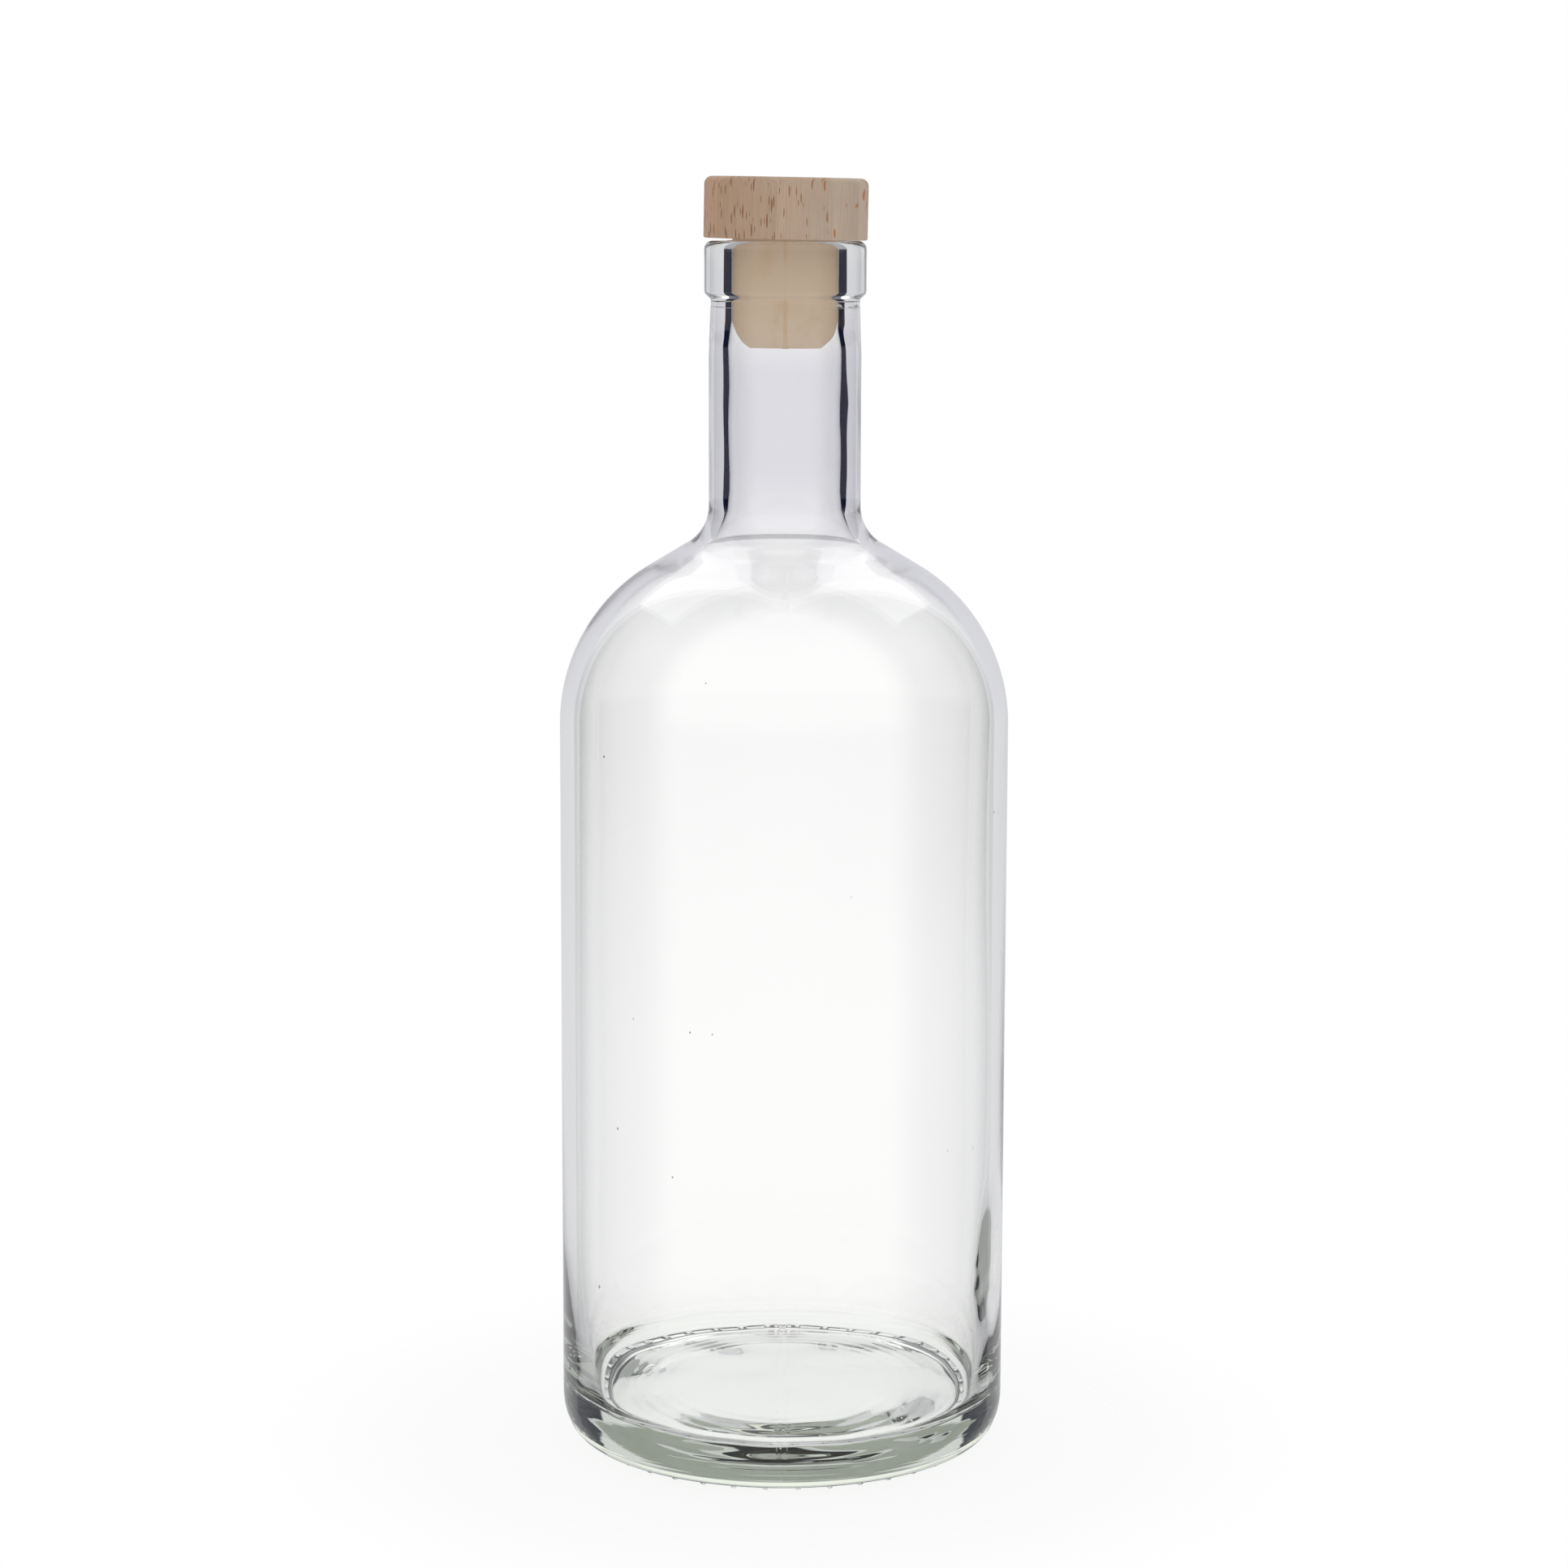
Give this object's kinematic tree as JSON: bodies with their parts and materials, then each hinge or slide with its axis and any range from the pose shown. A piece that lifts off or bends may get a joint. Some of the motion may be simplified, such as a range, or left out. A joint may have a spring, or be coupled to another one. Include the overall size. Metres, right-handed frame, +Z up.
{
  "type": "glass bottle",
  "caption": "Round clear glass spirits bottle with a domed shoulder and a short neck, closed by a wooden bar-top stopper that pulls straight up.",
  "frame": {"origin": "centre of the bottle's footprint, on the surface that it stands on", "axes": "+Z up along the bottle's axis, from the base to the stopper; X and Y are alike because the bottle is round"},
  "size_m": [0.0834, 0.0834, 0.2364],
  "materials": {
    "flint_glass": "clear, fire polished",
    "beech": "turned and sanded, uncoated",
    "shank_polymer": "moulded, matt"
  },
  "bodies": {
    "container": {"bottle": "flint_glass"},
    "stopper": {"stopper_head": "beech", "stopper_shank": "shank_polymer"}
  },
  "joints": [
    {"name": "stopper_lift", "type": "slide", "parent": "container", "child": "stopper", "axis": [0, 0, 1], "range_m": [0, 0.045]}
  ]
}
